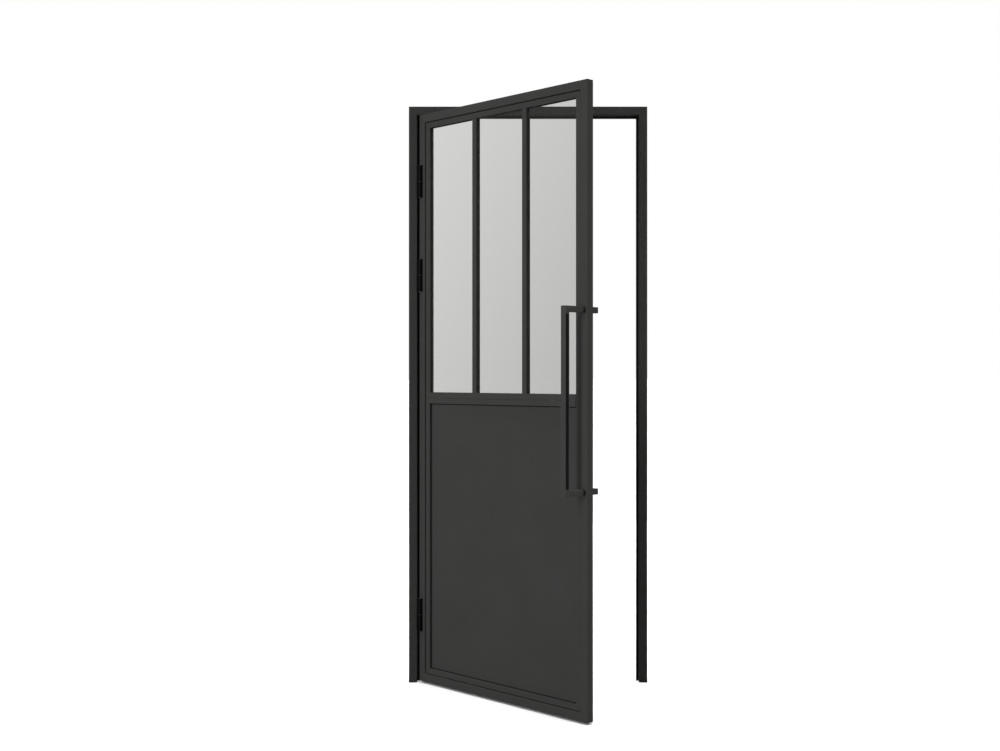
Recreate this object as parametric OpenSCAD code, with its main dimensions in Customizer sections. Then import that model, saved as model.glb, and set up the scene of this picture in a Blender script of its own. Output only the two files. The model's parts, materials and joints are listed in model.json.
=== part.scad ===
// Single swing door: a glazed, flush-framed leaf on three hinges in a three-sided frame.
// The frame's front face looks along -Y, X runs from the hinge jamb to the lock jamb and Z is up.
// The origin is the middle of the hinge jamb's foot. The leaf is drawn open_angle away from closed.

/* [Frame] */
// Width over the outside of both jambs
frame_w = 890; // [740:1:1100]
// Height from the floor to the top of the head
frame_h = 2150; // [1900:1:2600]
// Width of the jamb and head seen from the front
jamb_w = 30; // [24:1:60]
// How far the stop stands out into the doorway
stop_w = 7.5; // [7:0.5:16]
// Thickness of the stop, front to back
stop_d = 11.5; // [6:0.5:20]
// Wall of the frame extrusion
frame_wall = 2; // [1.5:0.1:3]
// Radius of the holes for the wall screws
fixing_hole_r = 3.5; // [2.5:0.1:5]
// Height of the lowest wall screw
fixing_low_z = 120; // [80:5:160]
// Distance of the highest wall screw from the top of the frame
fixing_high = 170; // [160:5:240]
// Thickness of the rubber seal on the stop
seal_t = 2; // [1:0.1:3]
// Width of the rubber seal on the stop
seal_w = 6; // [4:0.5:7]
// Space between the seal and the closed leaf, which its corner needs as it turns
seal_gap = 1.5; // [1.3:0.1:4]

/* [Opening and gaps] */
// How far the leaf stands open as drawn, in degrees
open_angle = 44.5; // [0:0.5:90]
// Gap between the leaf and the hinge jamb
hinge_gap = 4; // [4:0.1:6]
// Gap between the leaf and the lock jamb
lock_gap = 3; // [2:0.1:6]
// Gap between the leaf and the head
head_gap = 2.5; // [2:0.1:6]
// Gap between the leaf and the floor
floor_gap = 6.5; // [4:0.5:20]

/* [Leaf] */
// Thickness of the leaf over its outer band
leaf_t = 30; // [29:0.5:40]
// Width of the outer band of the stiles and rails
band_w = 30; // [28:1:60]
// Wall of the outer band, which is a tube
band_wall = 2; // [1.5:0.1:3]
// Width of the shadow gap between the outer band and the glazing bar
shadow_w = 3; // [2:0.5:6]
// Thickness of the web that bridges the shadow gap
neck_t = 10; // [6:1:14]
// Width of a glazing bar seen from the front
bar_w = 20; // [18:1:30]
// How far the glazing bar's face lies behind the band's face
bar_setback = 4; // [2:0.5:5]
// Thickness of the front flange that the glass is pressed against
flange_t = 8; // [6:0.5:9]
// Wall of the glazing bar, which is hollow
bar_wall = 1.6; // [1.2:0.1:2]
// Width of the glazing bar behind the flange
bar_body_w = 10; // [8:0.5:11]
// Thickness of a mullion's web between two panes
mullion_web_t = 2; // [2:0.5:4]
// Number of panes side by side
pane_count = 3; // [3]
// Height of the joint between the glazed half and the panelled half above the leaf's foot
mid_joint_z = 1056; // [700:1:1200]
// Open seam between the two mid rails
mid_seam = 0.6; // [0.4:0.1:1]
// How far the lower mid rail stands proud of the upper one
mid_proud = 1; // [0:0.1:2]
// Size of the small chamfer along visible edges
edge_c = 0.8; // [0.4:0.1:1.2]

/* [Glass and panel] */
// Thickness of the glass
glass_t = 4; // [3:0.5:6]
// Thickness of each glazing gasket
gasket_t = 1; // [1:0.1:1.5]
// How far the glass reaches in behind the sight line
glass_overlap = 6; // [5:0.5:7]
// How far the gasket stops short of the sight line
gasket_inset = 0.5; // [0:0.1:1]
// Thickness of the lower panel
panel_t = 4; // [3:0.5:5]
// Thickness of the beads that hold glass and panel from the back
bead_t = 8; // [7:0.5:8]

/* [Hinges] */
// Number of hinges
hinge_count = 3; // [3]
// Length of a hinge over both knuckles
hinge_len = 118; // [80:1:160]
// Distance from the leaf's end to the middle of an outer hinge
hinge_end = 248; // [180:1:260]
// Distance from the top hinge down to the next one
hinge_pair = 350; // [250:5:400]
// Outside radius of the knuckles
knuckle_r = 8.5; // [7.5:0.1:10.5]
// Space between a knuckle and the plate on the jamb
knuckle_clear = 0.5; // [0.3:0.1:1]
// Distance of the hinge axis in front of the leaf's face
axis_out = 3.4; // [3:0.1:5]
// Radius of the hinge pin
pin_r = 4.5; // [3:0.1:5]
// How far the pin is pressed into the lower knuckle
pin_seat = 40; // [20:1:45]
// How far the pin reaches up into the upper knuckle
pin_reach = 44; // [20:1:48]
// Thickness of the hinge plates
plate_t = 3; // [2:0.1:3.5]
// How deep the hinge plates reach into the rebate
plate_depth = 27; // [20:1:29]
// Thickness of the bearing washer between the knuckles
washer_t = 2; // [1:0.1:3]
// How far the leaf's hinge web laps past its notch at each end
web_lap = 12; // [6:1:20]

/* [Pull handle] */
// Side of the square handle tube
grip_s = 20; // [16:1:24]
// Wall of the handle tube
grip_wall = 2; // [1.5:0.1:3]
// Distance of the arms' middle from the leaf's free edge
arm_in = 16.2; // [16.2:0.1:20]
// Distance between the two arms, centre to centre
arm_pitch = 600; // [300:10:1000]
// Distance from the leaf's face to the front of the grip
grip_reach = 101; // [60:1:120]
// Height of the handle's middle above the leaf's foot
handle_z = 1055.5; // [900:0.5:1150]
// Width of the posts behind the leaf, which pass the stop as the door closes
post_w = 18; // [16:0.5:18]
// Length of the short posts behind the leaf
post_len = 34; // [24:1:34]
// Radius of the through bolts
bolt_r = 4; // [3:0.1:4]
// Thickness of the plug welded into each arm's end
arm_plug_t = 12; // [8:1:16]

/* [Catch] */
// Length of the magnetic catch
catch_len = 60; // [40:1:80]
// Distance from the leaf's free edge to the catch
catch_inset = 70; // [65:1:200]
// Width of the catch, front to back
catch_w = 14; // [10:1:18]
// Depth of the catch in the top rail
catch_d = 12; // [9:1:14]
// Thickness of the steel strike on the head
strike_t = 1.5; // [1:0.1:1.8]

/* [Fits] */
// Running clearance around a hinge pin, on the radius
run_clear = 0.05; // [0.02:0.01:0.1]
// Clearance of a pressed or screwed fit, on the radius
press_clear = 0.02; // [0.01:0.01:0.05]
// Clearance of pieces slid into a tube
slide_clear = 0.2; // [0.1:0.05:0.5]
// Gap above the bearing washer
axial_gap = 0.2; // [0.1:0.05:0.3]
// Clearance around a knuckle in its notch
notch_clear = 2; // [1:0.1:2.5]

/* [Hidden] */

$fn = 48;
eps = 0.01;
steel_grey = [0.55, 0.55, 0.56];
powder_black = [0.21, 0.21, 0.21];
hinge_black = [0.08, 0.08, 0.08];
rubber_black = [0.05, 0.05, 0.05];
glass_tint = [0.75, 0.78, 0.76, 0.4];

// Frame
rebate_d = leaf_t + seal_gap + seal_t;
frame_depth = rebate_d + stop_d;
reveal_w = jamb_w + stop_w;
fixing_y = rebate_d / 2;
fixing_pitch = (frame_h - fixing_high - fixing_low_z) / 3;
fixing_zs = [for (i = [0:3]) fixing_low_z + i * fixing_pitch];
cleat_arm = 60;
cleat_y = 8;

// Leaf, in its own corner's coordinates: X from the hinge edge, Y from the front face, Z from the foot
leaf_w = frame_w - 2 * jamb_w - hinge_gap - lock_gap;
leaf_h = frame_h - jamb_w - head_gap - floor_gap;
bar_at = band_w + shadow_w;
pocket_at = bar_at + bar_body_w;
sight_at = bar_at + bar_w;
flange_back = bar_setback + flange_t;
glass_y = flange_back + gasket_t;
bead_y = glass_y + glass_t + gasket_t;
bar_back = bead_y + bead_t;
mullion_pitch = (leaf_w - 2 * sight_at + bar_w) / pane_count;
upper_rail_z = mid_joint_z + mid_seam / 2;
lower_rail_z = mid_joint_z - mid_seam / 2;

// Hinges
pivot_x = jamb_w + plate_t + knuckle_clear + knuckle_r;
axis_in = pivot_x - jamb_w - hinge_gap;
pivot_y = -axis_out;
hinge_zs = [leaf_h - hinge_end, leaf_h - hinge_end - hinge_pair, hinge_end];
knuckle_len = (hinge_len - washer_t - axial_gap) / 2;
notch_w = axis_in + knuckle_r + notch_clear;
notch_d = knuckle_r - axis_out + notch_clear;
web_y = notch_d + slide_clear;
lug_half = 3.6;
frame_lug_back = 1;
screw_r = 2.1;
screw_head_r = 4.2;
screw_head_h = 2.1;
screw_len = 12;
frame_screw_y = 15;
leaf_screw_y = 18;
hinge_screw_pitch = 42;

// Handle
arm_x = leaf_w - arm_in;
arm_zs = [handle_z - arm_pitch / 2, handle_z + arm_pitch / 2];
bolt_head_r = 6.5;
bolt_head_h = 8;
cap_t = 4;
cap_w = post_w - 2 * grip_wall;
cap_h = grip_s - 2 * grip_wall;
sleeve_r = bolt_r + 3;
bolt_back_y = leaf_t + post_len - cap_t - bolt_head_h;
bolt_tip_y = 2 - arm_plug_t;

// Catch
catch_x = leaf_w - catch_inset - catch_len;
catch_y = (leaf_t - catch_w) / 2;
magnet_t = 6;
magnet_wall = 2;
strike_screw_r = 1.6;
strike_screw_pitch = 44;

// ---- placing ----

module in_frame() {
    translate([-jamb_w / 2, -frame_depth / 2, 0]) children();
}

module in_leaf() {
    in_frame()
        translate([pivot_x, pivot_y, floor_gap])
            rotate([0, 0, -open_angle])
                translate([jamb_w + hinge_gap - pivot_x, -pivot_y, 0]) children();
}

// turns a bar that runs up Z into one that runs along X
module lying() {
    mirror([1, 0, -1]) children();
}

module from_right(w) {
    translate([w, 0, 0]) mirror([1, 0, 0]) children();
}

module from_top(h) {
    translate([0, 0, h]) mirror([0, 0, 1]) children();
}

// an outline drawn in X and Z, as thick as the space between two depths
module slab(y0, y1, points) {
    translate([0, y1, 0]) rotate([90, 0, 0]) linear_extrude(y1 - y0) polygon(points);
}

module block(lo, hi) {
    translate(lo) cube(hi - lo);
}

// ---- shared shapes ----

module chamfered(w, d, c) {
    polygon([[c, 0], [w - c, 0], [w, c], [w, d - c], [w - c, d], [c, d], [0, d - c], [0, c]]);
}

module tube_outline(w, d, wall) {
    difference() {
        chamfered(w, d, edge_c);
        translate([wall, wall]) square([w - 2 * wall, d - 2 * wall]);
    }
}

module frame_outline() {
    w = frame_wall;
    difference() {
        polygon([[edge_c, 0], [jamb_w - edge_c, 0], [jamb_w, edge_c], [jamb_w, rebate_d],
            [reveal_w, rebate_d], [reveal_w, frame_depth], [0, frame_depth], [0, edge_c]]);
        polygon([[w, w], [jamb_w - w, w], [jamb_w - w, rebate_d + w],
            [reveal_w - w, rebate_d + w], [reveal_w - w, frame_depth - w], [w, frame_depth - w]]);
    }
}

// hollow glazing bar: a wide flange in front and a narrow body behind it
module bar_outline(face_y) {
    w = bar_wall;
    difference() {
        polygon([[0, face_y], [bar_w - edge_c, face_y], [bar_w, face_y + edge_c],
            [bar_w, flange_back], [bar_body_w, flange_back], [bar_body_w, bar_back], [0, bar_back]]);
        polygon([[w, face_y + w], [bar_w - w, face_y + w], [bar_w - w, flange_back - w],
            [bar_body_w - w, flange_back - w], [bar_body_w - w, bar_back - w], [w, bar_back - w]]);
    }
}

module leaf_outline() {
    tube_outline(band_w, leaf_t, band_wall);
    translate([band_w, (leaf_t - neck_t) / 2]) square([shadow_w, neck_t]);
    translate([bar_at, 0]) bar_outline(bar_setback);
}

module stile() {
    intersection() {
        linear_extrude(leaf_h) leaf_outline();
        slab(-1, leaf_t + 1, [[0, 0], [sight_at, sight_at], [sight_at, leaf_h - sight_at], [0, leaf_h]]);
    }
}

module rail() {
    intersection() {
        lying() linear_extrude(leaf_w) leaf_outline();
        slab(-1, leaf_t + 1, [[0, 0], [leaf_w, 0], [leaf_w - sight_at, sight_at], [sight_at, sight_at]]);
    }
}

module jamb() {
    difference() {
        intersection() {
            linear_extrude(frame_h) frame_outline();
            slab(-1, frame_depth + 1, [[0, 0], [reveal_w, 0], [reveal_w, frame_h - reveal_w], [0, frame_h]]);
        }
        for (z = fixing_zs)
            translate([-1, fixing_y, z]) rotate([0, 90, 0]) cylinder(r = fixing_hole_r, h = jamb_w + 2);
    }
}

// corner piece that fills two tubes where they meet: its corner lies at the outer corner
module cleat(tube_w, wall, depth) {
    a = wall + slide_clear;
    b = tube_w - wall - slide_clear;
    slab(cleat_y, cleat_y + depth,
        [[a, a], [cleat_arm, a], [cleat_arm, b], [b, b], [b, cleat_arm], [a, cleat_arm]]);
}

module csk_screw(r, head_r, head_h, len) {
    cylinder(r1 = head_r, r2 = r, h = head_h);
    translate([0, 0, head_h - eps]) cylinder(r = r, h = len - head_h + eps);
}

module csk_hole(r, head_r, head_h, len) {
    c = press_clear;
    translate([0, 0, -eps]) cylinder(r1 = head_r + c + eps, r2 = r + c, h = head_h + eps);
    translate([0, 0, head_h - eps]) cylinder(r = r + c, h = len - head_h + 1);
}

// a rectangular ring in X and Z between two depths
module ring(y0, y1, lo, hi, w) {
    difference() {
        block([lo[0], y0, lo[1]], [hi[0], y1, hi[1]]);
        block([lo[0] + w, y0 - 1, lo[1] + w], [hi[0] - w, y1 + 1, hi[1] - w]);
    }
}

// ---- frame ----

module jamb_screw_holes() {
    for (z = hinge_zs, i = [-1:1])
        translate([jamb_w + plate_t, frame_screw_y, floor_gap + z + i * hinge_screw_pitch])
            rotate([0, -90, 0]) csk_hole(screw_r, screw_head_r, screw_head_h, screw_len);
}

module hinge_jamb() {
    color(powder_black) in_frame() difference() {
        jamb();
        jamb_screw_holes();
    }
}

module lock_jamb() {
    color(powder_black) in_frame() from_right(frame_w) jamb();
}

module head_frame() {
    color(powder_black) in_frame() difference() {
        from_top(frame_h) intersection() {
            lying() linear_extrude(frame_w) frame_outline();
            slab(-1, frame_depth + 1,
                [[0, 0], [frame_w, 0], [frame_w - reveal_w, reveal_w], [reveal_w, reveal_w]]);
        }
        at_strike_screws() csk_hole(strike_screw_r, 2 * strike_screw_r, strike_t, screw_len);
    }
}

module frame_cleat() {
    from_top(frame_h) cleat(jamb_w, frame_wall, frame_depth - 2 * cleat_y);
}

module hinge_side_cleat() {
    color(steel_grey) in_frame() frame_cleat();
}

module lock_side_cleat() {
    color(steel_grey) in_frame() from_right(frame_w) frame_cleat();
}

module seal_outline() {
    translate([jamb_w + (stop_w - seal_w) / 2, rebate_d - seal_t])
        polygon([[0, seal_t], [0, 1], [1, 0], [seal_w - 1, 0], [seal_w, 1], [seal_w, seal_t]]);
}

module jamb_seal() {
    intersection() {
        linear_extrude(frame_h) seal_outline();
        slab(0, frame_depth, [[0, 0], [reveal_w, 0], [reveal_w, frame_h - reveal_w], [0, frame_h]]);
    }
}

module hinge_jamb_seal() {
    color(rubber_black) in_frame() jamb_seal();
}

module lock_jamb_seal() {
    color(rubber_black) in_frame() from_right(frame_w) jamb_seal();
}

module head_seal() {
    color(rubber_black) in_frame() from_top(frame_h) intersection() {
        lying() linear_extrude(frame_w) seal_outline();
        slab(0, frame_depth, [[0, 0], [frame_w, 0], [frame_w - reveal_w, reveal_w], [reveal_w, reveal_w]]);
    }
}

module at_strike_screws() {
    mid = jamb_w + hinge_gap + catch_x + catch_len / 2;
    for (i = [-1, 1])
        translate([mid + i * strike_screw_pitch / 2, leaf_t / 2, frame_h - jamb_w - strike_t]) children();
}

module strike_plate() {
    x0 = jamb_w + hinge_gap + catch_x;
    z1 = frame_h - jamb_w;
    color(hinge_black) in_frame() difference() {
        block([x0, catch_y, z1 - strike_t], [x0 + catch_len, catch_y + catch_w, z1]);
        at_strike_screws() csk_hole(strike_screw_r, 2 * strike_screw_r, strike_t, screw_len);
    }
}

module strike_screws() {
    color(hinge_black) in_frame() at_strike_screws()
        csk_screw(strike_screw_r, 2 * strike_screw_r, strike_t, screw_len - 3);
}

// ---- hinges ----

// lower knuckle with its plate on the jamb: z is the hinge's middle above the leaf's foot
module hinge_frame_half(z) {
    zm = floor_gap + z;
    z0 = zm - hinge_len / 2;
    color(hinge_black) in_frame() difference() {
        union() {
            block([jamb_w, -lug_half - axis_out, z0], [jamb_w + plate_t, plate_depth, z0 + hinge_len]);
            block([jamb_w, -lug_half - axis_out, z0], [pivot_x, frame_lug_back, z0 + knuckle_len]);
            translate([pivot_x, pivot_y, z0]) cylinder(r = knuckle_r, h = knuckle_len);
        }
        translate([pivot_x, pivot_y, z0 + knuckle_len - pin_seat])
            cylinder(r = pin_r + press_clear, h = pin_seat + 1);
        for (i = [-1:1])
            translate([jamb_w + plate_t, frame_screw_y, zm + i * hinge_screw_pitch])
                rotate([0, -90, 0]) csk_hole(screw_r, screw_head_r, screw_head_h, screw_len);
    }
}

// upper knuckle with the web and tang that sit inside the stile's tube
module hinge_leaf_half(z) {
    z1 = z + hinge_len / 2;
    in0 = band_wall + slide_clear;
    in1 = band_w - band_wall - slide_clear;
    lap0 = z - hinge_len / 2 - web_lap;
    lap1 = z1 + web_lap;
    color(hinge_black) in_leaf() difference() {
        union() {
            translate([axis_in, -axis_out, z1 - knuckle_len]) cylinder(r = knuckle_r, h = knuckle_len);
            block([axis_in - lug_half, -axis_out, z1 - knuckle_len], [axis_in + lug_half, web_y + 1, z1]);
            block([in0, web_y, lap0], [in1, web_y + plate_t, lap1]);
            block([in0, web_y, lap0], [in0 + plate_t, plate_depth, lap1]);
        }
        translate([axis_in, -axis_out, z1 - knuckle_len - 1])
            cylinder(r = pin_r + run_clear, h = pin_reach + 2);
        leaf_screw_places(z) csk_hole(screw_r, screw_head_r, screw_head_h, screw_len);
    }
}

module leaf_screw_places(z) {
    for (i = [-1:1])
        translate([0, leaf_screw_y, z + i * hinge_screw_pitch]) rotate([0, 90, 0]) children();
}

module hinge_pin(z) {
    top = floor_gap + z - hinge_len / 2 + knuckle_len;
    color(steel_grey) in_frame() translate([pivot_x, pivot_y, top - pin_seat])
        cylinder(r = pin_r, h = pin_seat + washer_t + axial_gap + pin_reach);
}

module hinge_washer(z) {
    color(rubber_black) in_frame()
        translate([pivot_x, pivot_y, floor_gap + z - hinge_len / 2 + knuckle_len]) difference() {
            cylinder(r = knuckle_r, h = washer_t);
            translate([0, 0, -1]) cylinder(r = pin_r + press_clear, h = washer_t + 2);
        }
}

module upper_hinge_frame_half() { hinge_frame_half(hinge_zs[0]); }
module middle_hinge_frame_half() { hinge_frame_half(hinge_zs[1]); }
module lower_hinge_frame_half() { hinge_frame_half(hinge_zs[2]); }
module upper_hinge_leaf_half() { hinge_leaf_half(hinge_zs[0]); }
module middle_hinge_leaf_half() { hinge_leaf_half(hinge_zs[1]); }
module lower_hinge_leaf_half() { hinge_leaf_half(hinge_zs[2]); }
module upper_hinge_pin() { hinge_pin(hinge_zs[0]); }
module middle_hinge_pin() { hinge_pin(hinge_zs[1]); }
module lower_hinge_pin() { hinge_pin(hinge_zs[2]); }
module upper_hinge_washer() { hinge_washer(hinge_zs[0]); }
module middle_hinge_washer() { hinge_washer(hinge_zs[1]); }
module lower_hinge_washer() { hinge_washer(hinge_zs[2]); }

module hinge_frame_screws() {
    color(hinge_black) in_frame()
        for (z = hinge_zs, i = [-1:1])
            translate([jamb_w + plate_t, frame_screw_y, floor_gap + z + i * hinge_screw_pitch])
                rotate([0, -90, 0]) csk_screw(screw_r, screw_head_r, screw_head_h, screw_len);
}

module hinge_leaf_screws() {
    color(hinge_black) in_leaf()
        for (z = hinge_zs)
            leaf_screw_places(z) csk_screw(screw_r, screw_head_r, screw_head_h, screw_len);
}

// ---- leaf ----

module hinge_stile() {
    color(powder_black) in_leaf() difference() {
        stile();
        for (z = hinge_zs) {
            half = hinge_len / 2 + notch_clear;
            block([-1, -1, z - half], [notch_w, notch_d, z + half]);
            leaf_screw_places(z) csk_hole(screw_r, screw_head_r, screw_head_h, screw_len);
        }
    }
}

module lock_stile() {
    color(powder_black) in_leaf() difference() {
        from_right(leaf_w) stile();
        for (z = arm_zs)
            translate([arm_x, -1, z]) rotate([-90, 0, 0])
                cylinder(r = bolt_r + slide_clear, h = leaf_t + 2);
    }
}

module top_rail() {
    color(powder_black) in_leaf() difference() {
        from_top(leaf_h) rail();
        block([catch_x, catch_y, leaf_h - band_wall - 1],
            [catch_x + catch_len, catch_y + catch_w, leaf_h + 1]);
    }
}

module bottom_rail() {
    color(powder_black) in_leaf() rail();
}

// a glazing bar across the leaf, its flange between the stiles' flanges and its body between their bodies
module mid_rail(face_y) {
    intersection() {
        lying() linear_extrude(leaf_w) bar_outline(face_y);
        union() {
            block([sight_at, 0, -1], [leaf_w - sight_at, flange_back, bar_w + 1]);
            block([pocket_at, flange_back, -1], [leaf_w - pocket_at, leaf_t, bar_w + 1]);
        }
    }
}

module upper_mid_rail() {
    color(powder_black) in_leaf() translate([0, 0, upper_rail_z]) mid_rail(bar_setback);
}

module lower_mid_rail() {
    color(powder_black) in_leaf() from_top(lower_rail_z) mid_rail(bar_setback - mid_proud);
}

// i counts the mullions from the hinge side, and x is the middle of one
function mullion_x(i) = sight_at - bar_w / 2 + i * mullion_pitch;

module mullion(i) {
    color(powder_black) in_leaf() translate([mullion_x(i), 0, 0]) {
        translate([-bar_w / 2, bar_setback, upper_rail_z + bar_w])
            linear_extrude(leaf_h - sight_at - upper_rail_z - bar_w) difference() {
                chamfered(bar_w, flange_t, edge_c);
                translate([bar_wall, bar_wall]) square([bar_w - 2 * bar_wall, flange_t - 2 * bar_wall]);
            }
        block([-mullion_web_t / 2, flange_back, upper_rail_z + bar_body_w],
            [mullion_web_t / 2, bar_back, leaf_h - pocket_at]);
    }
}

module left_mullion() { mullion(1); }
module right_mullion() { mullion(2); }

module leaf_cleat() {
    cleat(band_w, band_wall, leaf_t - 2 * cleat_y);
}

module foot_hinge_cleat() {
    color(steel_grey) in_leaf() leaf_cleat();
}

module foot_lock_cleat() {
    color(steel_grey) in_leaf() from_right(leaf_w) leaf_cleat();
}

module top_hinge_cleat() {
    color(steel_grey) in_leaf() from_top(leaf_h) leaf_cleat();
}

module top_lock_cleat() {
    color(steel_grey) in_leaf() from_top(leaf_h) from_right(leaf_w) leaf_cleat();
}

// ---- glass, gaskets and beads ----

// the clear opening of pane i, counted from the hinge side
function pane_lo(i) = [mullion_x(i) + bar_w / 2, upper_rail_z + bar_w];
function pane_hi(i) = [mullion_x(i + 1) - bar_w / 2, leaf_h - sight_at];
panel_lo = [sight_at, sight_at];
panel_hi = [leaf_w - sight_at, lower_rail_z - bar_w];

// where the pocket of pane i ends, at a bar's body or at a mullion's web
function pocket_lo(i) = i == 0 ? pocket_at : mullion_x(i) + mullion_web_t / 2;
function pocket_hi(i) = i == pane_count - 1 ? leaf_w - pocket_at : mullion_x(i + 1) - mullion_web_t / 2;

module pane(i) {
    lo = pane_lo(i);
    hi = pane_hi(i);
    o = glass_overlap;
    color(glass_tint) in_leaf()
        block([lo[0] - o, glass_y, lo[1] - o], [hi[0] + o, glass_y + glass_t, hi[1] + o]);
}

module gaskets(i) {
    o = glass_overlap * [1, 1];
    w = glass_overlap - gasket_inset;
    color(rubber_black) in_leaf() {
        ring(flange_back, glass_y, pane_lo(i) - o, pane_hi(i) + o, w);
        ring(glass_y + glass_t, bead_y, pane_lo(i) - o, pane_hi(i) + o, w);
    }
}

// four strips round an opening: the upright ones run full height between the bars' bodies
module bead_set(lo, hi, out_lo, out_hi) {
    block([out_lo[0], bead_y, out_lo[1]], [lo[0], bar_back, out_hi[1]]);
    block([hi[0], bead_y, out_lo[1]], [out_hi[0], bar_back, out_hi[1]]);
    block([lo[0] + slide_clear, bead_y, out_lo[1]], [hi[0] - slide_clear, bar_back, lo[1]]);
    block([lo[0] + slide_clear, bead_y, hi[1]], [hi[0] - slide_clear, bar_back, out_hi[1]]);
}

module beads(i) {
    color(powder_black) in_leaf()
        bead_set(pane_lo(i), pane_hi(i),
            [pocket_lo(i), upper_rail_z + bar_body_w], [pocket_hi(i), leaf_h - pocket_at]);
}

module left_pane() { pane(0); }
module centre_pane() { pane(1); }
module right_pane() { pane(2); }
module left_gaskets() { gaskets(0); }
module centre_gaskets() { gaskets(1); }
module right_gaskets() { gaskets(2); }
module left_beads() { beads(0); }
module centre_beads() { beads(1); }
module right_beads() { beads(2); }

module lower_panel() {
    o = glass_overlap;
    color(powder_black) in_leaf()
        block([panel_lo[0] - o, flange_back, panel_lo[1] - o],
            [panel_hi[0] + o, flange_back + panel_t, panel_hi[1] + o]);
}

module panel_tape() {
    o = glass_overlap * [1, 1];
    color(rubber_black) in_leaf()
        ring(flange_back + panel_t, bead_y, panel_lo - o, panel_hi + o, glass_overlap - gasket_inset);
}

module panel_beads() {
    color(powder_black) in_leaf()
        bead_set(panel_lo, panel_hi,
            [pocket_at, pocket_at], [leaf_w - pocket_at, lower_rail_z - bar_body_w]);
}

// ---- pull handle ----

module grip_path(inset) {
    s = grip_s / 2 - inset;
    block([arm_x - s, inset - grip_reach, arm_zs[0] - s],
        [arm_x + s, grip_s - inset - grip_reach, arm_zs[1] + s]);
    for (z = arm_zs)
        block([arm_x - s, inset - grip_reach, z - s], [arm_x + s, inset > 0 ? -arm_plug_t : 0, z + s]);
}

module pull_handle() {
    color(hinge_black) in_leaf() difference() {
        grip_path(0);
        grip_path(grip_wall);
        for (z = arm_zs)
            translate([arm_x, 1, z]) rotate([90, 0, 0])
                cylinder(r = bolt_r + press_clear, h = arm_plug_t + 3);
    }
}

// short square post behind the leaf, bored for the bolt and its head
module rear_post(z) {
    color(hinge_black) in_leaf() translate([arm_x, 0, z]) difference() {
        translate([-post_w / 2, leaf_t + post_len, -grip_s / 2]) rotate([90, 0, 0])
            linear_extrude(post_len) chamfered(post_w, grip_s, edge_c);
        rotate([-90, 0, 0]) cylinder(r = bolt_r + slide_clear, h = leaf_t + post_len);
        translate([0, bolt_back_y, 0]) rotate([-90, 0, 0])
            cylinder(r = bolt_head_r + slide_clear, h = post_len);
        block([-cap_w / 2, leaf_t + post_len - cap_t, -cap_h / 2],
            [cap_w / 2, leaf_t + post_len + 1, cap_h / 2]);
    }
}

module upper_rear_post() { rear_post(arm_zs[1]); }
module lower_rear_post() { rear_post(arm_zs[0]); }

module handle_bolts() {
    color(steel_grey) in_leaf() for (z = arm_zs) translate([arm_x, 0, z]) rotate([-90, 0, 0]) {
        translate([0, 0, bolt_tip_y]) cylinder(r = bolt_r, h = bolt_back_y - bolt_tip_y);
        translate([0, 0, bolt_back_y]) difference() {
            cylinder(r = bolt_head_r, h = bolt_head_h);
            translate([0, 0, bolt_head_h / 2]) cylinder(r = bolt_r * 0.75, h = bolt_head_h, $fn = 6);
        }
    }
}

module handle_sleeves() {
    color(steel_grey) in_leaf() for (z = arm_zs) translate([arm_x, band_wall, z]) rotate([-90, 0, 0])
        difference() {
            cylinder(r = sleeve_r, h = leaf_t - 2 * band_wall);
            translate([0, 0, -1]) cylinder(r = bolt_r + slide_clear, h = leaf_t);
        }
}

module post_caps() {
    a = cap_w / 2 - press_clear;
    b = cap_h / 2 - press_clear;
    color(hinge_black) in_leaf() for (z = arm_zs)
        translate([arm_x, leaf_t + post_len - cap_t, z]) block([-a, 0, -b], [a, cap_t, b]);
}

// ---- catch ----

module catch_housing() {
    c = press_clear;
    m = magnet_wall;
    color(rubber_black) in_leaf() difference() {
        block([catch_x + c, catch_y + c, leaf_h - catch_d],
            [catch_x + catch_len - c, catch_y + catch_w - c, leaf_h]);
        block([catch_x + m, catch_y + m, leaf_h - magnet_t],
            [catch_x + catch_len - m, catch_y + catch_w - m, leaf_h + 1]);
    }
}

module catch_magnet() {
    m = magnet_wall + press_clear;
    color(steel_grey) in_leaf()
        block([catch_x + m, catch_y + m, leaf_h - magnet_t],
            [catch_x + catch_len - m, catch_y + catch_w - m, leaf_h - 0.5]);
}

hinge_jamb();
lock_jamb();
head_frame();
hinge_side_cleat();
lock_side_cleat();
hinge_jamb_seal();
lock_jamb_seal();
head_seal();
strike_plate();
strike_screws();
upper_hinge_frame_half();
middle_hinge_frame_half();
lower_hinge_frame_half();
upper_hinge_leaf_half();
middle_hinge_leaf_half();
lower_hinge_leaf_half();
upper_hinge_pin();
middle_hinge_pin();
lower_hinge_pin();
upper_hinge_washer();
middle_hinge_washer();
lower_hinge_washer();
hinge_frame_screws();
hinge_leaf_screws();
hinge_stile();
lock_stile();
top_rail();
bottom_rail();
upper_mid_rail();
lower_mid_rail();
left_mullion();
right_mullion();
top_hinge_cleat();
top_lock_cleat();
foot_hinge_cleat();
foot_lock_cleat();
left_pane();
centre_pane();
right_pane();
left_gaskets();
centre_gaskets();
right_gaskets();
left_beads();
centre_beads();
right_beads();
lower_panel();
panel_tape();
panel_beads();
pull_handle();
upper_rear_post();
lower_rear_post();
handle_bolts();
handle_sleeves();
post_caps();
catch_housing();
catch_magnet();
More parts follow.
